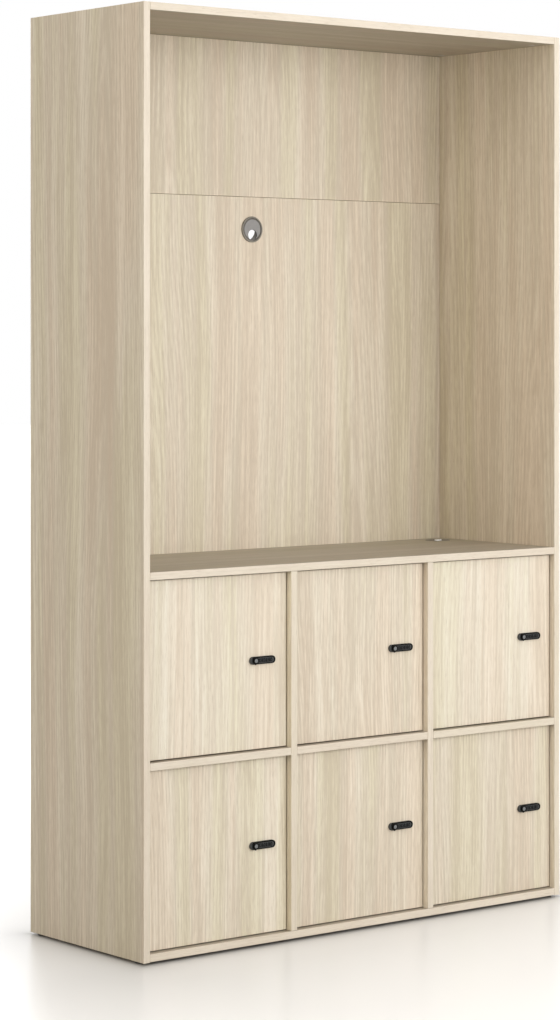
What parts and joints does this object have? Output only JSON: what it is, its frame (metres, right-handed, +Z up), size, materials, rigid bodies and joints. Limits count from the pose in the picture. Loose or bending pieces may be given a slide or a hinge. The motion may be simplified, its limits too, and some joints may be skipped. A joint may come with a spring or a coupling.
{
  "type": "office cabinet",
  "caption": "Tall wood-grain office cabinet: an open niche with a cable grommet over lockers with hinged doors and combination cam locks.",
  "frame": {"origin": "on the floor under the middle of the cabinet", "axes": "+X across the width to the viewer's right, front faces -Y, +Z up"},
  "size_m": [1.2, 0.42, 2.004],
  "materials": {
    "laminate": "matt ash-grain laminate on board",
    "grommet_plastic": "grey moulded plastic",
    "foot_rubber": "black glide",
    "hinge_steel": "nickel-plated steel",
    "cam_steel": "zinc-plated steel",
    "lock_metal": "black satin die-cast metal",
    "dial_plastic": "dark grey moulded dials"
  },
  "bodies": {
    "carcass": {"left_side_panel": "laminate", "right_side_panel": "laminate", "top_panel": "laminate", "bottom_panel": "laminate", "worktop_shelf": "laminate", "divider_left": "laminate", "divider_right": "laminate", "middle_shelf_left": "laminate", "middle_shelf_centre": "laminate", "middle_shelf_right": "laminate", "upper_back_panel": "laminate", "lower_back_panel": "laminate", "grommet_ring": "grommet_plastic", "foot_front_left": "foot_rubber", "foot_front_right": "foot_rubber", "foot_rear_left": "foot_rubber", "foot_rear_right": "foot_rubber", "hinge_arm_lower_left_top": "hinge_steel", "hinge_arm_lower_left_bottom": "hinge_steel", "hinge_arm_lower_centre_top": "hinge_steel", "hinge_arm_lower_centre_bottom": "hinge_steel", "hinge_arm_lower_right_top": "hinge_steel", "hinge_arm_lower_right_bottom": "hinge_steel", "hinge_arm_upper_left_top": "hinge_steel", "hinge_arm_upper_left_bottom": "hinge_steel", "hinge_arm_upper_centre_top": "hinge_steel", "hinge_arm_upper_centre_bottom": "hinge_steel", "hinge_arm_upper_right_top": "hinge_steel", "hinge_arm_upper_right_bottom": "hinge_steel"},
    "grommet_cap": {"grommet_cap": "grommet_plastic"},
    "door_lower_left": {"door_lower_left": "laminate", "lock_housing_lower_left": "lock_metal"},
    "lock_lower_left": {"knob_lower_left": "lock_metal", "cam_lower_left": "cam_steel"},
    "dials_lower_left": {"dial_set_lower_left": "dial_plastic"},
    "door_lower_centre": {"door_lower_centre": "laminate", "lock_housing_lower_centre": "lock_metal"},
    "lock_lower_centre": {"knob_lower_centre": "lock_metal", "cam_lower_centre": "cam_steel"},
    "dials_lower_centre": {"dial_set_lower_centre": "dial_plastic"},
    "door_lower_right": {"door_lower_right": "laminate", "lock_housing_lower_right": "lock_metal"},
    "lock_lower_right": {"knob_lower_right": "lock_metal", "cam_lower_right": "cam_steel"},
    "dials_lower_right": {"dial_set_lower_right": "dial_plastic"},
    "door_upper_left": {"door_upper_left": "laminate", "lock_housing_upper_left": "lock_metal"},
    "lock_upper_left": {"knob_upper_left": "lock_metal", "cam_upper_left": "cam_steel"},
    "dials_upper_left": {"dial_set_upper_left": "dial_plastic"},
    "door_upper_centre": {"door_upper_centre": "laminate", "lock_housing_upper_centre": "lock_metal"},
    "lock_upper_centre": {"knob_upper_centre": "lock_metal", "cam_upper_centre": "cam_steel"},
    "dials_upper_centre": {"dial_set_upper_centre": "dial_plastic"},
    "door_upper_right": {"door_upper_right": "laminate", "lock_housing_upper_right": "lock_metal"},
    "lock_upper_right": {"knob_upper_right": "lock_metal", "cam_upper_right": "cam_steel"},
    "dials_upper_right": {"dial_set_upper_right": "dial_plastic"}
  },
  "joints": [
    {"name": "grommet_cap_turn", "type": "hinge", "parent": "carcass", "child": "grommet_cap", "pos_m": [0, 0.1895, 1.554], "axis": [0, -1, 0], "continuous": true},
    {"name": "door_lower_left_hinge", "type": "hinge", "parent": "carcass", "child": "door_lower_left", "pos_m": [-0.578, -0.192, 0.21188], "axis": [0, 0, -1], "range_deg": [0, 95]},
    {"name": "lock_lower_left_turn", "type": "hinge", "parent": "door_lower_left", "child": "lock_lower_left", "pos_m": [-0.298, -0.195, 0.21438], "axis": [0, -1, 0], "range_deg": [0, 90]},
    {"name": "dials_lower_left_roll", "type": "hinge", "parent": "door_lower_left", "child": "dials_lower_left", "pos_m": [-0.2695, -0.19605, 0.21438], "axis": [1, 0, 0], "continuous": true},
    {"name": "door_lower_centre_hinge", "type": "hinge", "parent": "carcass", "child": "door_lower_centre", "pos_m": [-0.1835, -0.192, 0.21188], "axis": [0, 0, -1], "range_deg": [0, 95]},
    {"name": "lock_lower_centre_turn", "type": "hinge", "parent": "door_lower_centre", "child": "lock_lower_centre", "pos_m": [0.0965, -0.195, 0.21438], "axis": [0, -1, 0], "range_deg": [0, 90]},
    {"name": "dials_lower_centre_roll", "type": "hinge", "parent": "door_lower_centre", "child": "dials_lower_centre", "pos_m": [0.125, -0.19605, 0.21438], "axis": [1, 0, 0], "continuous": true},
    {"name": "door_lower_right_hinge", "type": "hinge", "parent": "carcass", "child": "door_lower_right", "pos_m": [0.211, -0.192, 0.21188], "axis": [0, 0, -1], "range_deg": [0, 95]},
    {"name": "lock_lower_right_turn", "type": "hinge", "parent": "door_lower_right", "child": "lock_lower_right", "pos_m": [0.491, -0.195, 0.21438], "axis": [0, -1, 0], "range_deg": [0, 90]},
    {"name": "dials_lower_right_roll", "type": "hinge", "parent": "door_lower_right", "child": "dials_lower_right", "pos_m": [0.5195, -0.19605, 0.21438], "axis": [1, 0, 0], "continuous": true},
    {"name": "door_upper_left_hinge", "type": "hinge", "parent": "carcass", "child": "door_upper_left", "pos_m": [-0.578, -0.192, 0.60913], "axis": [0, 0, -1], "range_deg": [0, 95]},
    {"name": "lock_upper_left_turn", "type": "hinge", "parent": "door_upper_left", "child": "lock_upper_left", "pos_m": [-0.298, -0.195, 0.61162], "axis": [0, -1, 0], "range_deg": [0, 90]},
    {"name": "dials_upper_left_roll", "type": "hinge", "parent": "door_upper_left", "child": "dials_upper_left", "pos_m": [-0.2695, -0.19605, 0.61162], "axis": [1, 0, 0], "continuous": true},
    {"name": "door_upper_centre_hinge", "type": "hinge", "parent": "carcass", "child": "door_upper_centre", "pos_m": [-0.1835, -0.192, 0.60913], "axis": [0, 0, -1], "range_deg": [0, 95]},
    {"name": "lock_upper_centre_turn", "type": "hinge", "parent": "door_upper_centre", "child": "lock_upper_centre", "pos_m": [0.0965, -0.195, 0.61162], "axis": [0, -1, 0], "range_deg": [0, 90]},
    {"name": "dials_upper_centre_roll", "type": "hinge", "parent": "door_upper_centre", "child": "dials_upper_centre", "pos_m": [0.125, -0.19605, 0.61162], "axis": [1, 0, 0], "continuous": true},
    {"name": "door_upper_right_hinge", "type": "hinge", "parent": "carcass", "child": "door_upper_right", "pos_m": [0.211, -0.192, 0.60913], "axis": [0, 0, -1], "range_deg": [0, 95]},
    {"name": "lock_upper_right_turn", "type": "hinge", "parent": "door_upper_right", "child": "lock_upper_right", "pos_m": [0.491, -0.195, 0.61162], "axis": [0, -1, 0], "range_deg": [0, 90]},
    {"name": "dials_upper_right_roll", "type": "hinge", "parent": "door_upper_right", "child": "dials_upper_right", "pos_m": [0.5195, -0.19605, 0.61162], "axis": [1, 0, 0], "continuous": true}
  ]
}
